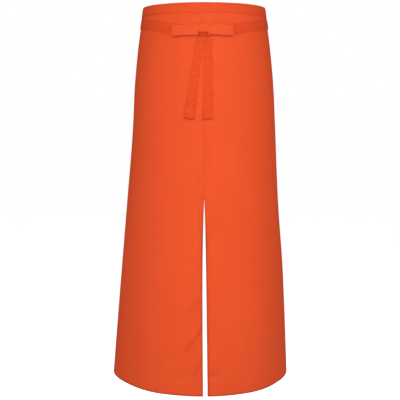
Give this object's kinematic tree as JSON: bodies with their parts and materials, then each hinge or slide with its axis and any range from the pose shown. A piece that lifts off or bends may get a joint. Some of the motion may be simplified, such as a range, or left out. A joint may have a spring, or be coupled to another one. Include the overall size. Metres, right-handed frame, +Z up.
{
  "type": "long waist apron",
  "caption": "Long plain waist apron with a centre-front slit, narrow waistband and wrap-round ties in a front bow.",
  "frame": {"origin": "centre of the waist opening, at half the waistband's height", "axes": "+Z up; the wearer faces -Y, so the bow is at -Y and the open back at +Y; +X is the wearer's left, and node names say left and right as the wearer does"},
  "size_m": [0.4871, 0.3199, 1.0005],
  "materials": {
    "panel_cloth": "matte twill",
    "band_cloth": "matte twill",
    "tie_cloth": "matte twill, folded",
    "thread": "spun polyester thread",
    "interlining": "non-woven felt",
    "label_tape": "satin tape, blank"
  },
  "bodies": {
    "waist": {"waistband": "band_cloth", "waistband_interlining": "interlining", "waistband_seam_stitch": "thread", "waistband_top_stitch": "thread", "left_panel_upper": "panel_cloth", "left_panel_bend": "panel_cloth", "right_panel_upper": "panel_cloth", "right_panel_bend": "panel_cloth", "left_back_edge_stitch": "thread", "right_back_edge_stitch": "thread", "centre_seam_stitch": "thread", "slit_bartack": "thread", "left_tie": "tie_cloth", "right_tie": "tie_cloth", "left_tie_edge_stitch": "thread", "right_tie_edge_stitch": "thread", "left_tie_box_stitch": "thread", "right_tie_box_stitch": "thread", "knot": "tie_cloth", "care_label": "label_tape"},
    "left_leg": {"left_panel_lower": "panel_cloth", "left_leg_hem_stitch": "thread"},
    "right_leg": {"right_panel_lower": "panel_cloth", "right_leg_hem_stitch": "thread"},
    "left_loop": {"left_bow_loop": "tie_cloth"},
    "right_loop": {"right_bow_loop": "tie_cloth"},
    "left_tail": {"left_tail": "tie_cloth", "left_tail_end_stitch": "thread"},
    "right_tail": {"right_tail": "tie_cloth", "right_tail_end_stitch": "thread"}
  },
  "joints": [
    {"name": "left_leg_swing", "type": "hinge", "parent": "waist", "child": "left_leg", "pos_m": [0, -0.075, -0.5], "axis": [-1, 0, 0], "range_deg": [-8, 20], "deforming": ["left_panel_bend"]},
    {"name": "right_leg_swing", "type": "hinge", "parent": "waist", "child": "right_leg", "pos_m": [0, -0.075, -0.5], "axis": [-1, 0, 0], "range_deg": [-8, 20], "deforming": ["right_panel_bend"]},
    {"name": "left_tail_lift", "type": "hinge", "parent": "waist", "child": "left_tail", "pos_m": [0.01345, -0.1307, -0.0755], "axis": [-1, 0, 0], "range_deg": [0, 75]},
    {"name": "right_tail_lift", "type": "hinge", "parent": "waist", "child": "right_tail", "pos_m": [-0.01345, -0.1307, -0.0755], "axis": [-1, 0, 0], "range_deg": [0, 75]},
    {"name": "left_loop_swing", "type": "hinge", "parent": "waist", "child": "left_loop", "pos_m": [0.0188, -0.1332, -0.057], "axis": [0, -0.1222, -0.9925], "range_deg": [0, 60]},
    {"name": "right_loop_swing", "type": "hinge", "parent": "waist", "child": "right_loop", "pos_m": [-0.0188, -0.1332, -0.057], "axis": [0, 0.1222, 0.9925], "range_deg": [0, 60]}
  ]
}
